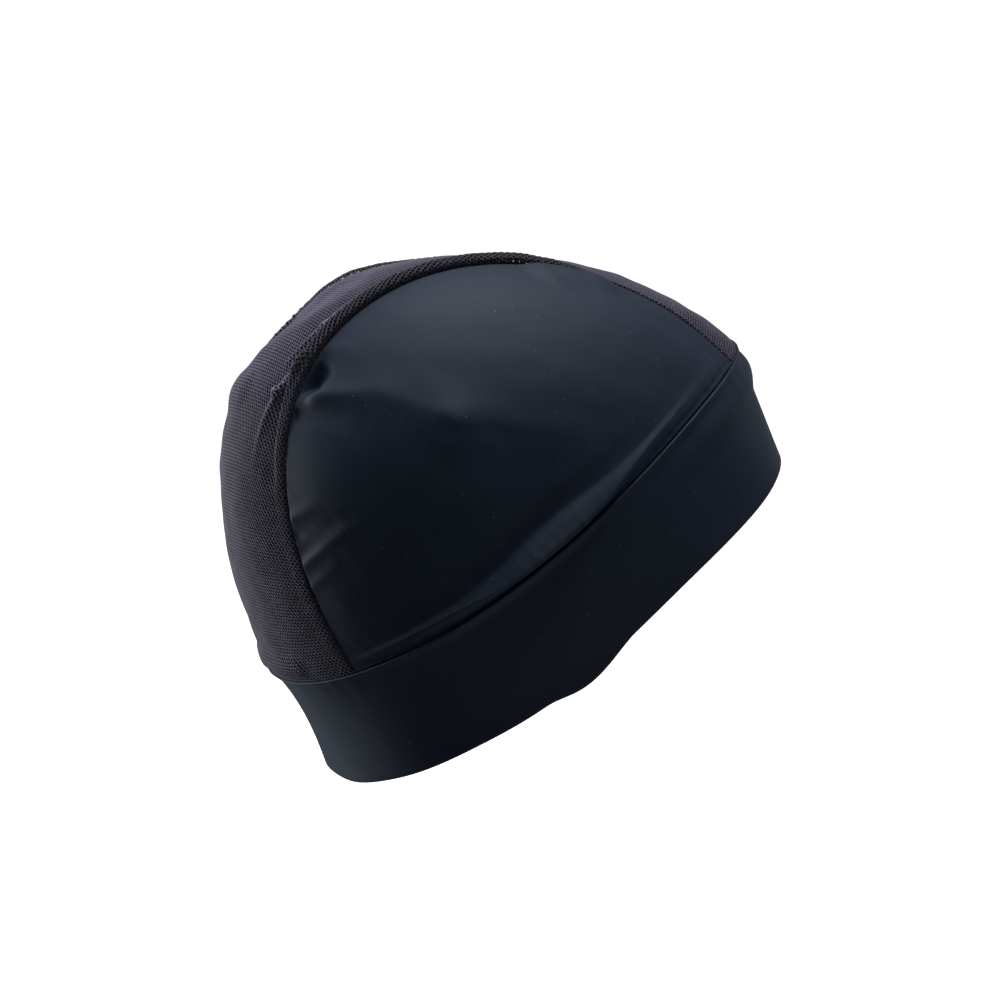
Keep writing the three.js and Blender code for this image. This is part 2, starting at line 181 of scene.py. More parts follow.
@dataclass(frozen=True)
class CapForm:
    """The form that every piece of the cap follows, with its sizes in millimetres and degrees.

    Directions are angles in the side view: 0 is straight to the front, 90 up and 180 to the back.
    """

    half_width: float = 77.0
    reach: float = 98.0
    strip_half_width: float = 26.0
    band_height: float = 41.8
    rim_tuck: float = 4.4
    cloth_in_source: float = 1.2
    seam_angles: Pair = (36.7, 212.7)
    band_leans: Pair = (21.0, 29.7)
    probe: float = 0.05
    row_start: float = 10.0
    row_step: float = 27.5
    reach_rows: Rows = (1.19, 1.051, 0.955, 0.947, 1.013, 1.074, 0.971, 0.925, 0.997)
    power_rows: Rows = (1.94, 2.05, 2.15, 2.23, 2.28, 2.31, 2.31, 2.29, 2.26)
    strip_rows: Rows = (1.62, 1.46, 0.96, 0.75, 0.96, 1.31, 1.52, 1.79, 1.91)
    seam_rises: Rows = (0, 0.07, 0.02, -0.04, -0.08, -0.07, 0)
    rim_rises: Rows = (0.005, 0.0, 0.025, -0.05, -0.105, -0.075, 0.0)
    squareness: Triple = (2.58, 2.4, 2.65)
    belly: Triple = (0.01, 0.02, -0.06)
    shoulder: Triple = (0.05, 0, 0)
    rim_corners: tuple[Triple, ...] = ((0.549, 0.066, 0.083),)

    def place(self, angle: Array, finer: int = 1) -> Array:
        """Place of a direction among the control rows, or among rows that many times finer."""
        return (angle - self.row_start) / self.row_step * finer

    def profile(self, angle: Array) -> Array:
        """Distance from the middle of the cap to the crown in a direction of the mid-plane."""
        return self.reach * control_curve(self.reach_rows, self.place(angle))

    def power(self, angle: Array) -> Array:
        """Power of the crown's curve from side to side: 2 is an ellipse, and more is squarer."""
        return control_curve(self.power_rows, self.place(angle))

    def strip_edge(self, angle: Array) -> Array:
        """Half-width of the mesh strip in a direction."""
        return self.strip_half_width * control_curve(self.strip_rows, self.place(angle))

    @staticmethod
    def direction(y: Array, z: Array) -> Array:
        """Direction in degrees of a point of the side view, from -90 to 270."""
        angle = np.degrees(np.arctan2(z, -y))
        return np.where(angle < -90, angle + 360, angle)

    def level(self, points: Array) -> Array:
        """How far out points are: (x / half-width) ^ power + (distance / profile) ^ power, 1 on the crown."""
        angle = self.direction(points[..., 1], points[..., 2])
        power = self.power(angle)
        sideways = (np.abs(points[..., 0]) / self.half_width) ** power
        return sideways + (np.hypot(points[..., 1], points[..., 2]) / self.profile(angle)) ** power

    def normal(self, points: Array) -> Array:
        """Outward direction square to the crown, from small steps along each axis."""
        steps = self.probe * np.eye(3)
        slopes = [self.level(points + step) - self.level(points - step) for step in steps]
        return unit(np.stack(slopes, axis=-1))

    def on_side(self, y: Array, z: Array) -> Array:
        """Points of the crown's left half over places of the side view."""
        angle = self.direction(y, z)
        power = self.power(angle)
        share = np.minimum(1, np.hypot(y, z) / self.profile(angle))
        return np.stack([self.half_width * (1 - share**power) ** (1 / power), y, z], axis=-1)

    def over(self, angle: Array, x: Array) -> Array:
        """Points of the crown in a direction, at a distance x from the mid-plane."""
        power = self.power(angle)
        far = self.profile(angle) * (1 - (np.abs(x) / self.half_width) ** power) ** (1 / power)
        turn = np.radians(angle)
        return np.stack([x + 0 * far, -np.cos(turn) * far, np.sin(turn) * far], axis=-1)

    def end_point(self, end: End, dropped: bool) -> Array:
        """The seam's or, dropped by the band's height, the rim's point in the mid-plane."""
        point = self.over(np.array(self.seam_angles[end.value]), np.array(0.0))
        lean = math.radians(self.band_leans[end.value])
        down = np.array([0, -math.sin(lean), -math.cos(lean)])
        return point + down * self.band_height * dropped

    def edge_line(self, turn: Array, dropped: bool) -> Array:
        """The band's seam or rim in the side view: a chord from front to back with its rises."""
        front, back = self.end_point(End.FOREHEAD, dropped), self.end_point(End.NAPE, dropped)
        share = (1 - np.cos(turn)) / 2
        chord = back - front
        upward = unit(np.array([0, -chord[2], chord[1]]))
        rises = self.rim_rises if dropped else self.seam_rises
        rise = self.band_height * control_curve(rises, share * (len(rises) - 1))
        return front + share[..., None] * chord + rise[..., None] * upward

    def seam(self, turn: Array, side: Side) -> Array:
        """The band's seam; turn runs from 0 at the forehead to pi at the nape."""
        line = self.edge_line(turn, False)
        points = self.on_side(line[..., 1], line[..., 2])
        return points * np.array([side.value, 1, 1])

    def band_value(self, rows: Triple, turn: Array) -> Array:
        """A value given at the forehead, ear and nape, faded into the ear's by the cosine squared."""
        end = np.where(np.cos(turn) > 0, rows[0], rows[2])
        return rows[1] + np.cos(turn) ** 2 * (end - rows[1])

    def rim(self, turn: Array, side: Side) -> Array:
        """The band's folded rim: half-width times the sine to the power 2 / squareness."""
        points = self.edge_line(turn, True)
        wide = self.half_width - self.rim_tuck
        power = 2 / self.band_value(self.squareness, turn)
        points[..., 0] = side.value * wide * np.abs(np.sin(turn)) ** power
        if side is Side.RIGHT:
            for around, width, drop in self.rim_corners:
                points[..., 2] -= drop * self.band_height * hump(turn / math.pi - around, width)
        return points

    def seat(self) -> Array:
        """The highest point of the inside of the crown, which is the frame's origin."""
        line = self.over(np.arange(*self.seam_angles, 0.25), np.array(0.0))
        top = line[np.argmax(line[:, 2])]
        return top - self.normal(top) * self.cloth_in_source

    def half_seam(self, end: End, count: int) -> tuple[Array, Array]:
        """Turns from an end to the ear, and the points of the left seam there."""
        turn = np.linspace(0, math.pi / 2, count)
        turn = turn if end is End.FOREHEAD else math.pi - turn
        return turn, self.seam(turn, Side.LEFT)

    def strip_angle(self, share: Array) -> Array:
        """Direction at a share of the way from the forehead's seam to the nape's."""
        return self.seam_angles[0] + share * (self.seam_angles[1] - self.seam_angles[0])

    def corner_turn(self, end: End, inset: float) -> float:
        """Turn at which the band's seam meets the long seam, moved by an inset."""
        turn, points = self.half_seam(end, 4000)
        past = points[:, 0] - self.strip_edge(self.direction(points[:, 1], points[:, 2])) - inset
        after = int(np.argmax(past > 0))
        share = past[after] / (past[after] - past[after - 1])
        return float(turn[after] + share * (turn[after - 1] - turn[after]))


FORM = CapForm()
SEAT = FORM.seat()


def add_object(name: str, data: bpy.types.ID) -> bpy.types.Object:
    """Make an object of some data and link it to the scene."""
    item = bpy.data.objects.new(name, data)
    bpy.context.scene.collection.objects.link(item)
    return item


def make_piece(name: str, points: Array, faces: Indices, merge: bool) -> bpy.types.Object:
    """Make a smooth mesh piece at the origin, its place in its mesh.

    Args:
        name: the piece's name.
        points: corners in millimetres in the cap's own axes, one a row.
        faces: four corner numbers a row, anticlockwise from outside.
        merge: whether corners that fall together become one.

    Returns:
        The new object, linked to the scene.
    """
    mesh = bpy.data.meshes.new(name)
    mesh.from_pydata(((points - SEAT) * MM).tolist(), [], faces.tolist())
    if merge:
        work = bmesh.new()
        work.from_mesh(mesh)
        bmesh.ops.remove_doubles(work, verts=work.verts, dist=1e-6)
        work.to_mesh(mesh)
        work.free()
    mesh.polygons.foreach_set("use_smooth", np.ones(len(mesh.polygons), bool))
    mesh.validate()
    mesh.update()
    return add_object(name, mesh)


def write_shares(piece: bpy.types.Object, name: str, values: Array) -> None:
    """Keep a number for each corner of a piece as a named attribute that materials read."""
    layer = piece.data.attributes.new(name, "FLOAT", "POINT")
    layer.data.foreach_set("value", values.astype(np.float32))


def strip_quads(first: Indices, second: Indices) -> Indices:
    """Quads between two lines of corner numbers, open at their ends."""
    return np.stack([first[:-1], first[1:], second[1:], second[:-1]], axis=1)


def grid_numbers(points: Array) -> Indices:
    """Corner numbers of a grid of points whose rows are laid end to end."""
    return np.arange(points.shape[0] * points.shape[1]).reshape(points.shape[:2])


def grid_quads(numbers: Indices) -> Indices:
    """Quads of a grid of corner numbers."""
    corners = [numbers[:-1, :-1], numbers[:-1, 1:], numbers[1:, 1:], numbers[1:, :-1]]
    return np.stack([corner.ravel() for corner in corners], axis=1)


def grid_normals(points: Array, fallback: Array) -> Array:
    """Directions square to a grid of points, or the fallback where the grid draws together."""
    across = np.cross(np.gradient(points, axis=0), np.gradient(points, axis=1))
    size = np.linalg.norm(across, axis=-1, keepdims=True)
    return np.where(size > 1e-3, across / np.maximum(size, 1e-12), fallback)


def ride_in_place(piece: bpy.types.Object, node: str) -> None:
    """Let a piece ride on the cap's one body and stand for its CAD node, which is hidden."""
    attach(piece, "root")
    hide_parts(node)


class Value:
    """A socket in a shader's maths, whose operators add Math nodes."""

    def __init__(self, shader: "Shader", socket: bpy.types.NodeSocket) -> None:
        """Keep the shader that the socket belongs to."""
        self.shader = shader
        self.socket = socket

    def __add__(self, other: "Value | float") -> "Value":
        """This plus other."""
        return self.shader.math("ADD", self, other)

    __radd__ = __add__

    def __mul__(self, other: "Value | float") -> "Value":
        """This times other."""
        return self.shader.math("MULTIPLY", self, other)

    __rmul__ = __mul__

    def __sub__(self, other: "Value | float") -> "Value":
        """This less other."""
        return self.shader.math("SUBTRACT", self, other)

    def __rsub__(self, other: "Value | float") -> "Value":
        """Other less this."""
        return self.shader.math("SUBTRACT", other, self)

    def __truediv__(self, other: "Value | float") -> "Value":
        """This over other."""
        return self.shader.math("DIVIDE", self, other)

    def sine(self) -> "Value":
        """The sine of this."""
        return self.shader.math("SINE", self)

    def span(self, low: float, high: float) -> "Value":
        """This mapped smoothly from low..high to 0..1."""
        settings = {"interpolation_type": "SMOOTHSTEP"}
        sockets = {"Value": self, "From Min": low, "From Max": high}
        return self.shader.add("ShaderNodeMapRange", settings, sockets, "Result")


class Shader:
    """A cloth material and the one way in which its nodes are added."""

    def __init__(self, name: str) -> None:
        """Start an empty material with that name."""
        self.material = bpy.data.materials.new(name)
        self.material.use_nodes = True
        self.tree = self.material.node_tree
        self.tree.nodes.clear()

    def add(self, kind: str, settings: dict, sockets: dict, output: str | int = 0) -> Value:
        """Add a node.

        Args:
            kind: the node's type name.
            settings: attributes of the node, set first.
            sockets: input names or numbers, with a value or a link for each.
            output: the name or number of the output that is wanted.

        Returns:
            That output, ready for maths.
        """
        node = self.tree.nodes.new(kind)
        for name, value in settings.items():
            setattr(node, name, value)
        for key, value in sockets.items():
            if isinstance(value, Value):
                self.tree.links.new(value.socket, node.inputs[key])
            else:
                node.inputs[key].default_value = value
        return Value(self, node.outputs[output])

    def math(self, operation: str, *terms: Value | float) -> Value:
        """Add a Math node over numbers and sockets."""
        return self.add("ShaderNodeMath", {"operation": operation}, dict(enumerate(terms)))

    def mix(self, factor: Value | float, low: tuple | Value, high: tuple | Value) -> Value:
        """Mix two colours by a factor."""
        return self.add("ShaderNodeMix", {"data_type": "RGBA"}, {0: factor, 6: low, 7: high}, 2)

    def noise(self, place: Value, scale: float, detail: float) -> Value:
        """Soft noise of a scale, in repeats for each metre of the place."""
        sockets = {"Vector": place, "Scale": scale, "Detail": detail, "Roughness": 0.55}
        return self.add("ShaderNodeTexNoise", {}, sockets, 0)

    def part(self, vector: Value, axis: int) -> Value:
        """One number of a vector."""
        return self.add("ShaderNodeSeparateXYZ", {}, {0: vector}, axis)

    def attribute(self, name: str) -> Value:
        """A number that a piece keeps for each of its corners."""
        return self.add("ShaderNodeAttribute", {"attribute_name": name}, {}, "Fac")

    def place(self) -> Value:
        """Object coordinates in metres."""
        return self.add("ShaderNodeTexCoord", {}, {}, "Object")

    def finish(self, surface: dict) -> bpy.types.Material:
        """Close the material with a Principled surface and give it back."""
        shader = self.add("ShaderNodeBsdfPrincipled", {}, surface)
        end = self.tree.nodes.new("ShaderNodeOutputMaterial")
        self.tree.links.new(shader.socket, end.inputs["Surface"])
        return self.material


@dataclass(frozen=True)
class SmoothCloth:
    """A finely knitted stretch cloth with a soft sheen and a little lint."""

    name: str
    dark: Colour = (0.0084, 0.0138, 0.0268, 1)
    light: Colour = (0.0118, 0.0184, 0.0344, 1)
    lint: Colour = (0.3, 0.34, 0.4, 1)
    glint: Colour = (0.76, 0.87, 1, 1)
    roughness: float = 0.62
    specular: float = 0.24
    sheen: float = 0.08
    sheen_roughness: float = 0.4
    knit_pitch: float = 0.45
    lint_pitch: float = 3.4
    lint_size: float = 0.085
    lint_strength: float = 0.45
    bump_strength: float = 0.22
    bump_height: float = 0.12

    def material(self) -> bpy.types.Material:
        """Build the cloth: calm tone changes, knit ribs in the bump, and sparse lint."""
        shader = Shader(self.name)
        place = shader.place()
        tone = shader.noise(place, 1 / (60 * MM), 3)
        grain = shader.noise(place, 1 / (0.5 * MM), 2)
        cells = {"Vector": place, "Scale": 1 / (self.lint_pitch * MM), "Randomness": 1.0}
        speck = shader.add("ShaderNodeTexVoronoi", {}, cells, "Distance")
        chance = shader.add("ShaderNodeTexVoronoi", {}, cells, "Color")
        lint = (1 - speck.span(self.lint_size * 0.5, self.lint_size)) * chance * chance
        cloth = shader.mix(tone.span(0.3, 0.7) * 0.7 + grain * 0.3, self.dark, self.light)
        shown = shader.mix(lint * self.lint_strength, cloth, self.lint)
        ribs = (shader.part(place, 1) * (2 * math.pi / (self.knit_pitch * MM))).sine()
        height = ribs * 0.25 + grain * 0.6 + shader.noise(place, 1 / (3 * MM), 3) * 0.8
        sockets = {"Height": height, "Strength": self.bump_strength, "Distance": self.bump_height * MM}
        bump = shader.add("ShaderNodeBump", {}, sockets)
        return shader.finish(
            {
                "Base Color": shown,
                "Roughness": self.roughness + (grain - 0.5) * 0.12,
                "Normal": bump,
                "Specular IOR Level": self.specular,
                "Specular Tint": self.glint,
                "Sheen Weight": self.sheen,
                "Sheen Roughness": self.sheen_roughness,
                "Sheen Tint": (0.75, 0.85, 1.0, 1.0),
            }
        )


@dataclass(frozen=True)
class MeshYarn:
    """The yarn of the pierced mesh: a matt charcoal thread whose crowns stay lighter than the painted shade
    round its holes.
    """

    name: str = "mesh_yarn"
    dark: Colour = (0.045, 0.042, 0.077, 1)
    light: Colour = (0.134, 0.125, 0.197, 1)
    # Colour of the painted highlight on the crests of sharp creases.
    crest: Colour = (0.17, 0.168, 0.22, 1)
    # Colour of the painted shade in the grooves, the rolls, beside the seam and round the holes.
    painted_shade_colour: Colour = (0.014, 0.014, 0.022, 1)
    # Strengths of the painted shade: between the rows of holes, in the rolls and beside the seam, and round
    # the holes.
    row_painted_shade: float = 0.55
    roll_painted_shade: float = 0.8
    hole_painted_shade: float = 0.95
    roughness: float = 0.7

    def material(self) -> bpy.types.Material:
        """Build the yarn: lighter and darker threads, with a fine twist in the bump.

        Painted shade darkens the grooves in which the rows of holes lie, the rolled edges, the
        yarn beside the seam and the rims of the holes, and a painted highlight lightens the crests of
        sharp creases.
        """
        shader = Shader(self.name)
        place = shader.place()
        tone = shader.noise(place, 1 / (25 * MM), 3)
        thread = shader.noise(place, 1 / (0.6 * MM), 2)
        yarn = shader.mix(tone.span(0.3, 0.7) * 0.5 + thread.span(0.35, 0.7) * 0.5, self.dark, self.light)
        # Painted shade in the grooves between the rows of holes.
        wave = (shader.attribute("row") * (2 * math.pi) + math.pi / 2).sine()
        painted_shade_share = (wave + 1) * (0.5 * self.row_painted_shade)
        # Painted shade in the rolled edges and beside the seam.
        painted_shading = shader.attribute("painted_shading")
        painted_shade_share = painted_shade_share + painted_shading.span(0, 1) * self.roll_painted_shade * (1 - painted_shade_share)
        # Painted shade on the rims of the holes.
        painted_shade_share = painted_shade_share + shader.attribute("hole").span(0.05, 0.7) * self.hole_painted_shade * (1 - painted_shade_share)
        # Painted highlight on the crests of sharp creases, where the painted shading is below 0.
        colour = shader.mix((0 - painted_shading).span(0, 1), shader.mix(painted_shade_share, yarn, self.painted_shade_colour), self.crest)
        sockets = {"Height": thread, "Strength": 0.3, "Distance": 0.1 * MM}
        bump = shader.add("ShaderNodeBump", {}, sockets)
        return shader.finish(
            {
                "Base Color": colour,
                "Roughness": self.roughness + (thread - 0.5) * 0.15,
                "Normal": bump,
                "Specular IOR Level": 0.25,
                "Sheen Weight": 0.1,
                "Sheen Roughness": 0.45,
            }
        )


@dataclass
class MeshStrip:
    """The pierced mesh panel from forehead to nape, with its edges rolled over the long seams."""

    column_step: float = 0.8
    row_step: float = 1.16
    yarn_height: float = 0.36
    hole_across: float = 0.68
    hole_along: float = 0.47
    seam_gap: float = 0.05
    allowance: float = 1.8
    edge_round: float = 0.9
    roll_width: float = 5.2
    roll_crest: float = 3.2
    # Reach of the painted shade beside the seam and over the rolled edges.
    seam_dark: float = 0.3
    seam_shade: float = 0.9
    roll_dark_from: float = 0.35
    roll_dark_past: float = 0.8
    roll_dark_fade: float = 1.2
    # Strength of the painted highlight on the crests of sharp creases.
    crest_painted_highlight: float = 1.5
    crest_power: int = 4
    calm_rows: int = 3
    calm_edge: float = 2.0
    roll_height: float = 2.5
    roll_overhang: float = 0.7
    roll_levels: int = 12
    roll_finer: int = 3
    roll_start: Rows = (0,) * 7
    near_roll: Rows = (0, 0.7, 1.15, 1, 0.95, 1, 1, 1, 1, 0.75, 0.15)
    far_roll: Rows = (0, 0, 0, 0, 0.55, 0.8, 0.3, -0.2, 0, 0, 0)
    roll_end: Rows = (0.1,) * 7
    uneven: tuple[Triple, ...] = ((0.25, 38, 11), (0.1, 12, 12))
    creases: tuple[Crease, ...] = (
        Crease((124, -0.74), (134, -0.8), (2.2, 2.6), (0.6, 1.3), True),
        Crease((134, -0.8), (144, -0.66), (2.6, 2.2), (1.3, 0.4), True),
        Crease((140.5, -0.95), (150, -0.76), (2.6, 3.6), (1.6, 2.2), True),
        Crease((150, -0.76), (164, -0.58), (3.6, 4.0), (2.2, 0.3), True),
        Crease((145, -0.97), (166, -0.84), (4.0, 6.0), (-1.0, -0.8)),
        Crease((131, 0.3), (140, 0.95), (22.0, 22.0), (-2.4, -3.3)),
        Crease((152, 0.1), (152, 0.95), (9.0, 9.0), (1.5, 1.5)),
        Crease((74, 0.1), (106, 0.5), (20.0, 22.0), (-1.0, -1.1)),
        Crease((209.5, -0.5), (210, 0.9), (6.5, 6.5), (1.6, 1.2)),
    )

    def roll_profile(self, spread: float) -> tuple[Array, Array, Array]:
        """Section of the rolled edge at a spread, which is its height over its full height.

        From the seam the section rises as a quarter ellipse, which bulges over the seam, to the
        crest, and from there it falls as a hump.

        Args:
            spread: 0 for a flat edge to 1 for the full roll.

        Returns:
            Distances along the cloth from the seam, distances straight in from the seam and
            heights.
        """
        turn = np.linspace(0, math.pi / 2, 24)
        rising = self.roll_crest * (1 - np.cos(turn)) - spread * self.roll_overhang * np.sin(2 * turn)
        falling = np.linspace(self.roll_crest, self.roll_width, 24)[1:]
        height = hump(falling - self.roll_crest, self.roll_width - self.roll_crest)
        inward = np.concatenate([rising, falling, [FORM.half_width]])
        lifted = spread * self.roll_height * np.concatenate([np.sin(turn), height, [0]])
        cloth = np.concatenate([[0], np.cumsum(np.hypot(np.diff(inward), np.diff(lifted)))])
        return cloth, inward, lifted

    def rolled(self, cloth: Array, spread: Array) -> tuple[Array, Array]:
        """Distance straight in from the seam and height of cloth that lies a length in from it.

        Each spread is read between the two nearest of a few section tables.
        """
        inward, height = np.zeros(cloth.shape), np.zeros(cloth.shape)
        for level in range(self.roll_levels + 1):
            table = self.roll_profile(level / self.roll_levels)
            weight = np.maximum(0, 1 - np.abs(spread * self.roll_levels - level))
            inward += weight * np.interp(cloth, table[0], table[1])
            height += weight * np.interp(cloth, table[0], table[2])
        return inward, height

    def cloth_edge(self, angle: Array, column: Array) -> tuple[Array, Array]:
        """Half-width of the strip along its cloth, and the roll's spread, in a direction.

        A column's sign tells which seam's roll it nears.
        """
        place = FORM.place(angle, self.roll_finer)
        near, far = (
            control_curve(self.roll_start + middle + self.roll_end, place)
            for middle in (self.near_roll, self.far_roll)
        )
        spread = np.clip(np.where(column > 0, far, near), 0, 1)
        levels = np.linspace(0, 1, self.roll_levels + 1)
        spare = [self.roll_profile(level / self.roll_levels)[0][-1] for level in range(len(levels))]
        extra = np.interp(spread, levels, spare) - FORM.half_width
        return FORM.strip_edge(angle) - self.seam_gap + extra, spread

    def row_angles(self) -> Array:
        """Shares of the way from forehead to nape of rows that lie evenly along the crown."""
        angle = np.linspace(*FORM.seam_angles, 2000)
        line = FORM.over(angle, np.array(0.0))
        along = np.concatenate([[0], np.cumsum(np.linalg.norm(np.diff(line, axis=0), axis=1))])
        rows = 2 * round(along[-1] / self.row_step / 2)
        angles = np.interp(np.linspace(0, along[-1], rows + 1), along, angle)
        return (angles - angles[0]) / (angles[-1] - angles[0])

    def end_angle(self, x: Array, end: End) -> Array:
        """Direction at which the band's seam lies at a distance x from the mid-plane."""
        points = FORM.half_seam(end, 2000)[1]
        return np.interp(np.abs(x), points[:, 0], FORM.direction(points[:, 1], points[:, 2]))

    def surface(self, column: Array, row: Array, shares: Array) -> tuple[Array, Array, Array]:
        """Place lattice coordinates on the strip.

        A column is a distance from the mid-plane over the column step, and past the seam the
        cloth turns inwards. A row counts along the crown, and past an end it turns inwards too.

        Returns:
            The points, the directions square to the crown there, and the painted shading at each
            point: 1 for full painted shade in a rolled edge or beside the seam, and below 0 for a painted
            highlight on a sharp crest.
        """
        cloth = np.abs(column) * self.column_step
        share = np.interp(np.clip(row, 0, len(shares) - 1), np.arange(len(shares)), shares)
        x = cloth
        for _ in range(3):
            start, stop = self.end_angle(x, End.FOREHEAD), self.end_angle(x, End.NAPE)
            angle = start + (stop - start) * share
            edge, spread = self.cloth_edge(angle, column)
            inside, rolled = self.rolled(np.maximum(0, edge - cloth), spread)
            x = np.maximum(0, FORM.strip_edge(angle) - self.seam_gap - inside)
        held = np.sign(column) * x
        points = FORM.over(angle, held)
        normal = FORM.normal(points)
        past_side = np.maximum(0, cloth - edge)
        past_end = np.maximum(0, np.maximum(-row, row - len(shares) + 1)) * self.row_step
        lift = rolled + self.lift(angle, held, inside)
        near = np.clip(self.edge_round - inside, 0, self.edge_round)
        drop = (self.edge_round - np.sqrt(self.edge_round**2 - near**2)) * (1 - spread)
        calm = ease(np.minimum(row, len(shares) - 1 - row) / self.calm_rows)
        points = points + normal * (lift * calm - drop - past_side - past_end)[..., None]
        # The last value is the painted shading: painted shade in rolls and beside the seam, less a painted
        # highlight on crease crests.
        return points, normal, self.painted_shading(column, inside, spread) - self.crest_painted_highlight * self.crest(angle, held)

    def painted_shading(self, column: Array, inside: Array, spread: Array) -> Array:
        """Painted shade on the yarn: in a roll, to its foot on the far side, and beside the seam."""
        dark_to = np.where(column > 0, self.roll_width, self.roll_crest + self.roll_dark_past)
        rolled = ease(spread / self.roll_dark_from) * (1 - ease((inside - dark_to) / self.roll_dark_fade + 1))
        return np.maximum(rolled, 1 - ease((inside - self.seam_dark) / self.seam_shade))

    def lift(self, angle: Array, x: Array, inside: Array) -> Array:
        """Height over the crown of the creases and of a calm unevenness."""
        along = np.radians(angle) * FORM.reach
        lift = sum(height * ripple(x, along, pitch, seed) for height, pitch, seed in self.uneven)
        lift = lift + sum(self.crease_height(crease, angle, x) for crease in self.creases)
        return lift * ease(inside / self.calm_edge)

    @staticmethod
    def crease_height(crease: Crease, angle: Array, x: Array) -> Array:
        """Height of a crease whose places are directions and shares of the half-width."""
        edge = FORM.strip_edge(angle)
        start, end = (
            (across * edge, math.radians(turn) * FORM.reach) for turn, across in (crease.start, crease.end)
        )
        return crease.height(x, np.radians(angle) * FORM.reach, start, end)

    def crest(self, angle: Array, x: Array) -> Array:
        """How near the line of a sharp crease is, for the painted highlight there: its height over its
        largest, to the power 4.
        """
        total = np.zeros(angle.shape)
        for crease in self.creases:
            if crease.sharp:
                total = total + (self.crease_height(crease, angle, x) / max(crease.lifts)) ** self.crest_power
        return np.minimum(1, total)

    def build(self) -> bpy.types.Object:
        """Build the lattice: a lozenge-shaped ring of yarn round every hole.

        Corners of the yarn are lattice places whose column and row add up to an even number, and
        holes are the others. Each ring has four raised corners above, the same four below, and
        four points of the hole's rim between them, which both faces share.

        Returns:
            The finished piece.
        """
        shares = self.row_angles()
        rows = len(shares) - 1
        spare_angle = FORM.strip_angle(shares)
        widest = float(np.max(self.cloth_edge(spare_angle, -spare_angle)[0])) + self.allowance
        reach = int(math.ceil(widest / self.column_step)) + 1
        spare = int(round(self.allowance / self.row_step))
        columns, lines = np.arange(-reach, reach + 1), np.arange(-spare, rows + spare + 1)
        column, row = np.meshgrid(columns, lines, indexing="ij")
        hole = (column + row) % 2 != 0
        column, row = column[hole].astype(float), row[hole].astype(float)
        share = np.interp(np.clip(row, 0, rows), np.arange(rows + 1), shares)
        angle = FORM.strip_angle(share)
        kept = np.abs(column * self.column_step) < self.cloth_edge(angle, column)[0] + self.allowance
        kept &= (row > -spare) & (row < rows + spare)
        column, row = column[kept], row[kept]
        steps = np.array([(1, 0), (0, 1), (-1, 0), (0, -1)])
        corner_columns = column[:, None] + steps[None, :, 0]
        corner_rows = row[:, None] + steps[None, :, 1]
        keys = (corner_columns + 1000) * 10000 + corner_rows + 1000
        unique, first, number = np.unique(keys.ravel(), return_index=True, return_inverse=True)
        number = number.reshape(keys.shape)
        corners, normal, painted_shading = self.surface(
            corner_columns.ravel()[first], corner_rows.ravel()[first], shares
        )
        rim_columns = column[:, None] + self.hole_across * steps[None, :, 0]
        rim_rows = row[:, None] + self.hole_along * steps[None, :, 1]
        rims, _, rim_painted_shading = self.surface(rim_columns.ravel(), rim_rows.ravel(), shares)
        count = len(unique)
        thick = self.yarn_height * normal
        points = np.concatenate([corners + thick, corners - thick, rims])
        rim = 2 * count + np.arange(rims.shape[0]).reshape(keys.shape)
        after = np.roll(number, -1, axis=1)
        rim_after = np.roll(rim, -1, axis=1)
        above = np.stack([number, after, rim_after, rim], axis=-1).reshape(-1, 4)
        below = np.stack([after + count, number + count, rim, rim_after], axis=-1).reshape(-1, 4)
        lone = self.lone_edges(number.ravel(), after.ravel())
        first_end, second_end = number.ravel()[lone], after.ravel()[lone]
        walls = np.stack([second_end, first_end, first_end + count, second_end + count], axis=-1)
        piece = make_piece("mesh_strip_knit", points, np.concatenate([above, below, walls]), False)
        rows_there = corner_rows.ravel()[first]
        write_shares(piece, "row", np.concatenate([rows_there, rows_there, rim_rows.ravel()]))
        # Painted shading of the yarn, which its material reads.
        write_shares(piece, "painted_shading", np.concatenate([painted_shading, painted_shading, rim_painted_shading]))
        # Marks the rims of the holes, which get painted shade.
        write_shares(piece, "hole", np.concatenate([np.zeros(2 * count), np.ones(len(rims))]))
        ride_in_place(piece, "mesh_strip")
        width = 2 * float(FORM.strip_edge(np.array(FORM.seam_angles[1]))) * MM
        area = self.flat_area(shares)
        return piece

    @staticmethod
    def lone_edges(start: Indices, end: Indices) -> npt.NDArray[np.bool_]:
        """Which ring sides have no ring beside them."""
        low, high = np.minimum(start, end), np.maximum(start, end)
        _, place, count = np.unique(low * 10**6 + high, return_inverse=True, return_counts=True)
        return count[place] == 1

    def flat_area(self, shares: Array) -> float:
        """Area of the cut strip in square metres, from its width row by row."""
        return float(np.sum(2 * FORM.strip_edge(FORM.strip_angle(shares))) * self.row_step * MM * MM)


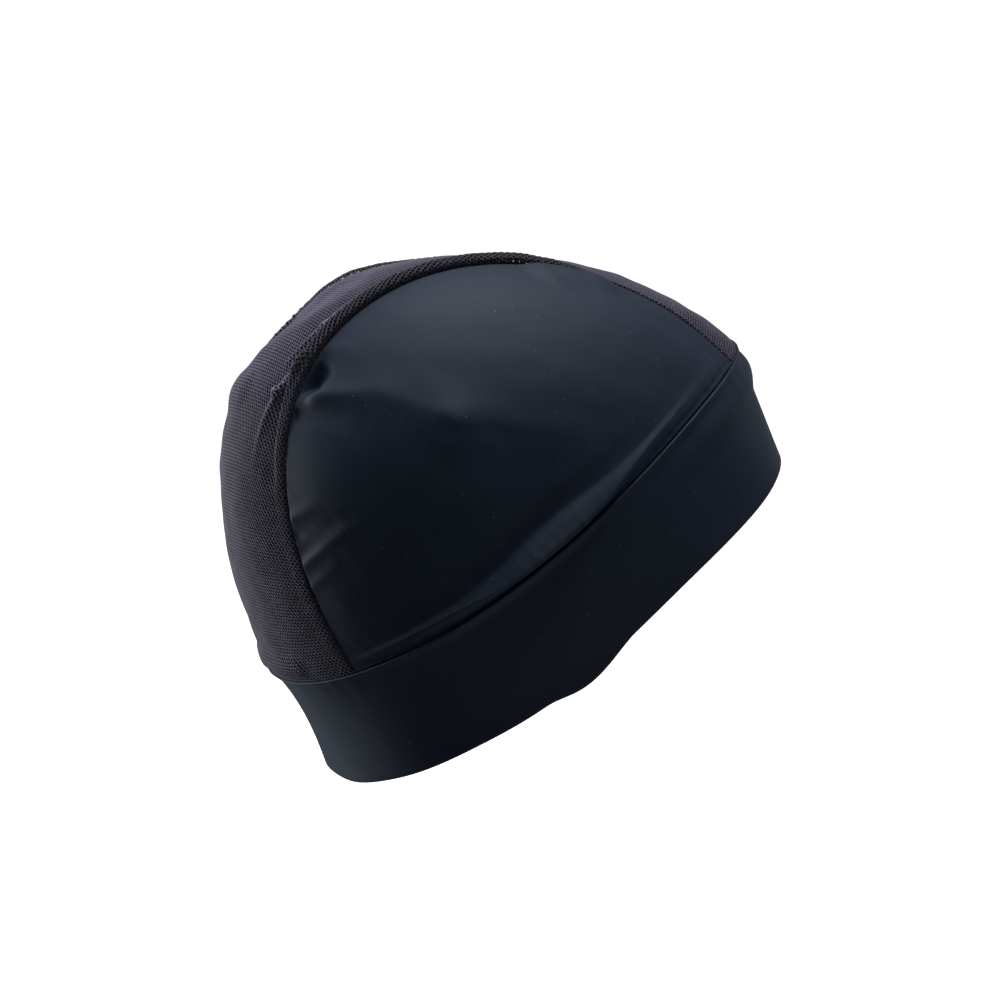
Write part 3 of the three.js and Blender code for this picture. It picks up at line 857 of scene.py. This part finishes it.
@dataclass
class SidePanel:
    """A smooth D-shaped side panel between the mesh strip and the band."""

    side: Side
    node: str
    stations: int = 300
    middle_rows: int = 120
    crowding: float = 0.45
    thickness: float = 0.7
    seam_gap: float = 0.05
    allowance: float = 2.4
    edge_round: float = 1.0
    tuck: float = 0.7
    tuck_reach: float = 4.5
    edge_rows: Rows = (0, 0.1, 0.3, 0.55, 0.85, 1.2, 1.8, 2.6)
    turned_rows: Rows = (1.5, 0.7, 0.25)
    narrow: float = 12.0
    cut_depth: float = 1.25
    cut_length: float = 0.9
    cut_area: float = 1.05
    fold_heights: Rows = (0.1, 0.15, 0.3, 0.6, 0.9, 1.6, 4.9, 6.7, 4.2, 1.7, 1.0, 0.5, 0.2)
    fold_crests: Rows = (6.5, 6.5, 6.5, 6.5, 6.3, 3.8, 0.5, 0.6, 3.0, 5.9, 6.2, 5.6, 5.0)
    fold_feet: Rows = (9.5, 9.5, 9.3, 9.0, 8.4, 9.2, 11.6, 11.2, 8.6, 8.1, 8.1, 7.6, 7.0)
    creases: tuple[Crease, ...] = field(default_factory=tuple)
    seed: int = 21

    def rows(self, depth: Array) -> tuple[Array, Array, Array]:
        """Rows of the panel: close together at its two edges, and closer towards the band.

        Between the edges the share of the way down is e (1 + crowding (1 - e)), where e is even.

        Args:
            depth: distance between the two seams at each station.

        Returns:
            The distance below the mesh seam, the distance turned in at the mesh seam and the
            distance turned in at the band seam, each with a line for every station.
        """
        near = np.array(self.edge_rows)
        turned = np.array([self.allowance, *self.turned_rows])
        scale = np.minimum(1, depth / self.narrow)[:, None]
        top = near * scale
        bottom = depth[:, None] - near[::-1] * scale
        even = np.linspace(0, 1, self.middle_rows + 2)[1:-1]
        share = even * (1 + self.crowding * (1 - even))
        middle = top[:, -1:] + (bottom[:, :1] - top[:, -1:]) * share
        spare = np.zeros((len(depth), len(turned)))
        fallen = np.concatenate([spare, top, middle, bottom, spare + depth[:, None]], axis=1)
        turned_top = np.zeros(fallen.shape)
        turned_bottom = np.zeros(fallen.shape)
        turned_top[:, : len(turned)] = turned
        turned_bottom[:, -len(turned) :] = turned[::-1]
        return fallen, turned_top, turned_bottom

    def build(self) -> bpy.types.Object:
        """Build the panel as a closed sheet of cloth with both seam allowances turned in."""
        turns = [FORM.corner_turn(end, self.seam_gap) for end in End]
        ends = [FORM.seam(np.array(turn), Side.LEFT) for turn in turns]
        angles = [float(FORM.direction(point[1], point[2])) for point in ends]
        along = np.linspace(0, 1, self.stations + 1)
        angle = angles[0] + along * (angles[1] - angles[0])
        top = FORM.over(angle, FORM.strip_edge(angle) + self.seam_gap)
        bottom = FORM.seam(turns[0] + along * (turns[1] - turns[0]), Side.LEFT)
        depth = np.linalg.norm(top - bottom, axis=1)
        fallen, turned_top, turned_bottom = self.rows(depth)
        down = fallen / np.maximum(depth, 1e-6)[:, None]
        line = top[:, None] + (bottom - top)[:, None] * down[..., None]
        points = FORM.on_side(line[..., 1], line[..., 2])
        points[:, : turned_top.shape[1]][turned_top > 0] = 0
        points = np.where((down <= 0)[..., None], top[:, None], points)
        points = np.where((down >= 1)[..., None], bottom[:, None], points)
        normal = FORM.normal(points)
        length = math.radians(angles[1] - angles[0]) * FORM.reach
        lift = self.lift(along[:, None] + 0 * down, down, depth[:, None], length)
        drop = self.edge_drop(fallen, depth[:, None])
        points = points + normal * (lift - drop - turned_top - turned_bottom)[..., None]
        inner = points - grid_normals(points, normal) * self.thickness * self.facing(points, normal)
        outer, inner = (sheet * np.array([self.side.value, 1, 1]) for sheet in (points, inner))
        faces = self.shell(grid_numbers(outer))
        if self.side is Side.LEFT:
            faces = faces[:, ::-1]
        corners = np.concatenate([outer.reshape(-1, 3), inner.reshape(-1, 3)])
        piece = make_piece(f"{self.node}_cloth", corners, faces, True)
        ride_in_place(piece, self.node)
        area = float(np.mean(depth)) * length * MM * MM
        flat = (float(depth.max()) * self.cut_depth * MM, length * self.cut_length * MM)
        area = min(area * self.cut_area, flat[0] * flat[1])
        return piece

    @staticmethod
    def facing(points: Array, normal: Array) -> float:
        """1 if the grid's own directions point out of the crown, else -1."""
        middle = points.shape[0] // 2, points.shape[1] // 2
        own = grid_normals(points, normal)[middle]
        return float(np.sign(np.dot(own, normal[middle])))

    def edge_drop(self, fallen: Array, depth: Array) -> Array:
        """How far the cloth has rolled in near each seam: a quarter circle of the edge's radius."""
        radius = self.edge_round * np.minimum(1, depth / self.narrow)
        inside = np.minimum(fallen, depth - fallen)
        near = np.clip(radius - inside, 0, radius)
        return radius - np.sqrt(np.maximum(0, radius**2 - near**2))

    def lift(self, along: Array, down: Array, depth: Array, length: float) -> Array:
        """Height over the crown of the fullness above the band, the creases and the puckers."""
        u, v = along * length, down * depth
        above = depth - v
        lift = self.sagging_fold(along, above) - self.tuck * hump(above, self.tuck_reach)
        for crease in self.creases:
            ends = [
                (place[0] * length, place[1] * float(np.interp(place[0], along[:, 0], depth[:, 0])))
                for place in (crease.start, crease.end)
            ]
            lift = lift + crease.height(u, v, *ends)
        pucker = 0.16 * ripple(u, v * 0.15, 7, self.seed + 2) * np.exp(-above / 5)
        pucker = pucker + 0.14 * ripple(u, v * 0.2, 9, self.seed + 3) * np.exp(-v / 5)
        calm = 0.3 * ripple(u, v, 50, self.seed) + 0.05 * ripple(u, v, 15, self.seed + 4)
        quiet = ease(v / 1.2) * ease(above / 3) * ease(np.minimum(along, 1 - along) / 0.05)
        return (lift + calm * ease(np.minimum(v, above) / 14) + pucker) * quiet

    def sagging_fold(self, along: Array, above: Array) -> Array:
        """Height of the long fold in which the cloth sags over the band.

        In section it is two straight slopes that meet in a crest, from the seam up to the crest
        and from the crest to its foot, rounded by a soft minimum and kept above 0 by a soft
        maximum.
        """
        place = along * (len(self.fold_heights) - 1)
        height = control_curve(self.fold_heights, place)
        crest = control_curve(self.fold_crests, place)
        foot = control_curve(self.fold_feet, place)
        rising = height * above / crest
        falling = height * (foot - above) / (foot - crest)
        rounding = 0.05 + 0.006 * height
        lower = -rounding * np.logaddexp(-rising / rounding, -falling / rounding)
        hollow = 0.22 * height * hump(above - foot - 2.5, 6.5)
        return rounding * np.logaddexp(0, lower / rounding) - hollow

    @staticmethod
    def shell(numbers: Indices) -> Indices:
        """Faces of the outer and inner sheets and of the four edges between them."""
        count = numbers.size
        outer = grid_quads(numbers)
        inner = grid_quads(numbers)[:, ::-1] + count
        rims = [numbers[0, ::-1], numbers[-1], numbers[:, 0], numbers[::-1, -1]]
        edges = [strip_quads(rim, rim + count) for rim in rims]
        return np.concatenate([outer, inner, *edges])


@dataclass
class HeadBand:
    """The head band: one cloth folded at the rim, whose inner layer covers the seam from inside."""

    stations: int = 440
    thickness: float = 0.75
    fold_radius: float = 1.15
    edge_round: float = 0.4
    allowance: float = 2.4
    cover: float = 3.6
    seam_gap: float = 0.06
    lip: float = 1.0
    lip_reach: float = 2.6
    curl: Triple = (-0.1, -0.8, 0.2)
    curl_reach: float = 9.0
    blend_reach: float = 7.0
    cut_height: float = 2.05

    def path(self) -> tuple[Array, Array]:
        """Outer face of the folded cloth, as shares down the band and depths into it.

        Returns:
            A table with the share of the straight height, the millimetres beyond it and the
            depth, and the same table for the cloth's other face.
        """
        bend = np.linspace(0, math.pi / 2, 6)
        top = [(0, self.seam_gap, self.allowance), (0, self.seam_gap, 1.6)]
        across, inward = self.edge_round * (1 - np.cos(bend)), self.edge_round * (1 - np.sin(bend))
        top += [(0, self.seam_gap + down, deep) for down, deep in zip(across, inward)]
        outer = [(share, 0, 0) for share in np.linspace(0.04, 1, 30)]
        turn = np.linspace(0, math.pi, 11)[1:]
        radius = self.fold_radius
        fold = [(1, radius * math.sin(t), radius * (1 - math.cos(t))) for t in turn]
        inner = [(share, 0, 2 * radius) for share in np.linspace(0.94, 0.1, 14)]
        close = [(0, 1.5, 2 * radius + 0.7), (0, 0, self.cover), (0, -self.allowance, self.cover)]
        outer_face = np.array(top + outer + fold + inner + close)
        return outer_face, self.other_face(outer_face)

    def other_face(self, face: Array) -> Array:
        """The same path moved by the cloth's thickness to its other side."""
        height = FORM.band_height
        down = face[:, 0] * height + face[:, 1]
        run, rise = np.gradient(down), np.gradient(face[:, 2])
        size = np.hypot(run, rise)
        moved = face.copy()
        moved[:, 1] += -rise / size * self.thickness
        moved[:, 2] += run / size * self.thickness
        return moved

    def build(self) -> bpy.types.Object:
        """Build the band as a closed ring of cloth sections."""
        around = np.linspace(0, 2 * math.pi, self.stations, endpoint=False)
        on_right = around < math.pi
        turn = np.where(on_right, around, 2 * math.pi - around)
        pick = on_right[:, None]
        seam = np.where(pick, FORM.seam(turn, Side.RIGHT), FORM.seam(turn, Side.LEFT))
        rim = np.where(pick, FORM.rim(turn, Side.RIGHT), FORM.rim(turn, Side.LEFT))
        downward = rim - seam
        height = np.linalg.norm(downward, axis=1)
        downward = downward / height[:, None]
        middle = (rim + seam) / 2
        sideways = np.roll(middle, -1, axis=0) - np.roll(middle, 1, axis=0)
        normal = unit(np.cross(sideways, downward))
        crownwards = FORM.normal(seam)
        faces = []
        for face in self.path():
            fallen = face[None, :, 0] * (height[:, None] - self.fold_radius) + face[None, :, 1]
            share = fallen / height[:, None]
            belly = FORM.band_value(FORM.belly, turn)[:, None] * FORM.band_height
            shoulder = FORM.band_value(FORM.shoulder, turn)[:, None] * FORM.band_height
            swell = 4 * share * (1 - share) * belly + shoulder * hump(share - 0.2, 0.2)
            swell = swell + self.lip * hump(fallen - self.edge_round, self.lip_reach)
            past = np.maximum(0, fallen - height[:, None] + self.curl_reach) / self.curl_reach
            swell = swell - FORM.band_value(self.curl, turn)[:, None] * past**2
            swell = swell + self.unevenness(around[:, None], fallen, height[:, None])
            blend = ease(fallen / self.blend_reach)[..., None]
            inward = unit(crownwards[:, None] * (1 - blend) + normal[:, None] * blend)
            points = seam[:, None] + downward[:, None] * fallen[..., None]
            points = points + normal[:, None] * swell[..., None] - inward * face[None, :, 2, None]
            faces.append(points)
        section = np.concatenate([faces[0], faces[1][:, ::-1]], axis=1)
        numbers = grid_numbers(section)
        looped = np.concatenate([numbers, numbers[:1]], axis=0)
        looped = np.concatenate([looped, looped[:, :1]], axis=1)
        quads = grid_quads(looped)[:, ::-1]
        piece = make_piece("head_band_cloth", section.reshape(-1, 3), quads, False)
        ride_in_place(piece, "head_band")
        return piece

    def unevenness(self, around: Array, fallen: Array, height: Array) -> Array:
        """Small puckers below the seam, a faint wave along the rim and calm hollows between."""
        u = around * FORM.reach * 0.85
        pucker = 0.14 * ripple(u, fallen * 0.2, 8, 51) * np.exp(-np.maximum(fallen, 0) / 6)
        wave = 0.2 * ripple(u, fallen * 0.3, 34, 52) * ease(fallen / height)
        return pucker * ease(fallen / 1.5) + wave + 0.3 * ripple(u, fallen, 48, 53) * ease(fallen / 10)


@dataclass
class Studio:
    """Pale floor, soft light and the camera at the photograph's viewing angle."""

    turn: float = 18.35
    elevation: float = 6.57
    distance: float = 1500.0
    pixels_per_mm: float = 2.87
    middle_px: Pair = (497.5, 521.4)
    sensor: float = 36.0
    floor_drop: float = 0.16
    floor_radius: float = 4.0
    wall_height: float = 6.0
    aim: Triple = (0.0, 0.0, -0.09)
    surroundings: Colour = (0.9, 0.95, 1, 1)
    surroundings_strength: float = 0.12
    lamps: tuple[tuple[str, Triple, float, float], ...] = (
        ("overhead", (0.0, -0.08, 1.3), 1.1, 25.5),
        ("nape_side", (0.75, 1.0, 0.0), 0.9, 15.5),
        ("below", (-0.55, -0.6, -0.95), 0.9, 2.2),
    )

    def camera(self) -> None:
        """Place the camera on the view line through the middle of the cap."""
        turn, lift = math.radians(self.turn), math.radians(self.elevation)
        back = Vector((-math.cos(turn) * math.cos(lift), math.sin(turn) * math.cos(lift), math.sin(lift)))
        right = Vector((-math.sin(turn), -math.cos(turn), 0))
        upward = back.cross(right)
        beside = (PICTURE / 2 - self.middle_px[0]) / self.pixels_per_mm
        above = (self.middle_px[1] - PICTURE / 2) / self.pixels_per_mm
        data = bpy.data.cameras.new("camera")
        data.sensor_width = self.sensor
        data.lens = self.sensor * self.distance * self.pixels_per_mm / PICTURE
        data.clip_start, data.clip_end = 0.05, 100
        camera = add_object("camera", data)
        middle = Vector((-SEAT * MM).tolist())
        camera.location = middle + (back * self.distance + right * beside + upward * above) * MM
        camera.rotation_euler = (-back).to_track_quat("-Z", "Y").to_euler()
        bpy.context.scene.camera = camera

    def light(self, name: str, place: Triple, size: float, power: float) -> None:
        """Add a soft square light at a place, turned to the cap, in metres and watts."""
        data = bpy.data.lights.new(name, "AREA")
        data.shape = "SQUARE"
        data.size = size
        data.energy = power
        lamp = add_object(name, data)
        lamp.location = place
        lamp.rotation_euler = (Vector(self.aim) - Vector(place)).to_track_quat("-Z", "Y").to_euler()

    def build(self) -> None:
        """Set up the camera, the lights, the floor and the pale surroundings."""
        self.camera()
        for lamp in self.lamps:
            self.light(*lamp)
        world = bpy.data.worlds.new("surroundings")
        bpy.context.scene.world = world
        world.use_nodes = True
        background = world.node_tree.nodes["Background"]
        background.inputs["Color"].default_value = self.surroundings
        background.inputs["Strength"].default_value = self.surroundings_strength
        floor = self.floor(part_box("head_band")[0][2] - self.floor_drop)
        bpy.context.scene.view_settings.view_transform = "Standard"

    def floor(self, low: float) -> bpy.types.Object:
        """Make a round floor that curves up into a wall, so that no horizon shows.

        Each ring of the surface has a radius and a height: the floor is flat to its radius, and
        from there it follows a quarter circle and a straight wall.

        Args:
            low: height of the floor in metres.

        Returns:
            The floor, which shines white and casts no light on the cap.
        """
        bend = np.linspace(0, math.pi / 2, 16)
        radius = np.concatenate([[0.01, 1, 2], self.floor_radius + np.sin(bend), [self.floor_radius + 1]])
        height = np.concatenate([[0, 0, 0], 1 - np.cos(bend), [self.wall_height]]) + low
        around = np.linspace(0, 2 * math.pi, 97)[:, None]
        corners = np.stack([radius * np.cos(around), radius * np.sin(around), height + 0 * around], axis=-1)
        mesh = bpy.data.meshes.new("floor")
        mesh.from_pydata(corners.reshape(-1, 3).tolist(), [], grid_quads(grid_numbers(corners)).tolist())
        floor = add_object("floor", mesh)
        shader = Shader("pale_floor")
        shown = {"Base Color": (0.9, 0.9, 0.9, 1), "Roughness": 0.9, "Emission Color": (1, 1, 1, 1)}
        floor.data.materials.append(shader.finish(shown | {"Emission Strength": 1.0}))
        floor.visible_diffuse = False
        floor.visible_glossy = False
        floor.visible_shadow = False
        return floor


RIGHT_CREASES = (
    Crease((0.639, 0.0), (0.573, 0.19), (4.0, 11.0), (3.2, 0.5), True),
    Crease((0.63, 0.0), (0.594, 0.035), (5.0, 4.0), (-3.8, -1.8)),
    Crease((0.61, 0.0), (0.584, 0.014), (6.0, 5.0), (-3.2, -1.0)),
    Crease((0.567, 0.0), (0.557, 0.045), (4.0, 4.5), (0.5, 0.3)),
    Crease((0.655, 0.0), (0.625, 0.11), (3.6, 8.0), (-1.0, -0.3)),
    Crease((0.2, 0.0), (0.27, 0.0), (9.0, 11.0), (1.8, 1.8)),
    Crease((0.776, 0.01), (0.74, 0.13), (2.6, 3.4), (0.7, 0.2), True),
    Crease((0.795, 0.02), (0.742, 0.21), (3.4, 4.5), (-0.6, -0.3)),
    Crease((0.826, 0.0), (0.724, 0.29), (3.0, 4.0), (-0.5, -0.25)),
    Crease((0.84, 0.0), (0.737, 0.3), (3.0, 3.6), (0.8, 0.3), True),
    Crease((0.87, 0.0), (0.8, 0.27), (2.8, 3.6), (0.6, 0.15), True),
    Crease((0.572, 0.2), (0.535, 0.43), (14.0, 18.0), (0.6, 1.3), True),
    Crease((0.535, 0.43), (0.42, 0.72), (18.0, 20.0), (1.3, 0.4), True),
    Crease((0.548, 0.43), (0.5, 0.53), (7.0, 9.0), (-0.5, -0.3)),
)
LEFT_CREASES = (
    Crease((0.63, 0.0), (0.58, 0.17), (4.0, 9.0), (1.3, 0.5)),
    Crease((0.84, 0.0), (0.76, 0.24), (3.0, 4.0), (0.8, 0.3)),
)


def main() -> None:
    """Build the pieces in order, dress them and report them."""
    logging.basicConfig(level=logging.INFO, format="%(name)s: %(message)s")
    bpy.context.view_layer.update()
    side_cloth = SmoothCloth("side_cloth").material()
    band_cloth = SmoothCloth("band_cloth").material()
    yarn = MeshYarn().material()
    pieces = [
        (MeshStrip(), yarn),
        (SidePanel(Side.RIGHT, "side_panel_right", creases=RIGHT_CREASES), side_cloth),
        (SidePanel(Side.LEFT, "side_panel_left", creases=LEFT_CREASES, seed=71), side_cloth),
        (HeadBand(), band_cloth),
    ]
    for maker, material in pieces:
        piece = maker.build()
        piece.data.materials.append(material)
        LOG.info("%s: %d corners, %d faces", piece.name, len(piece.data.vertices), len(piece.data.polygons))
    Studio().build()


if __name__ == "__main__":
    main()
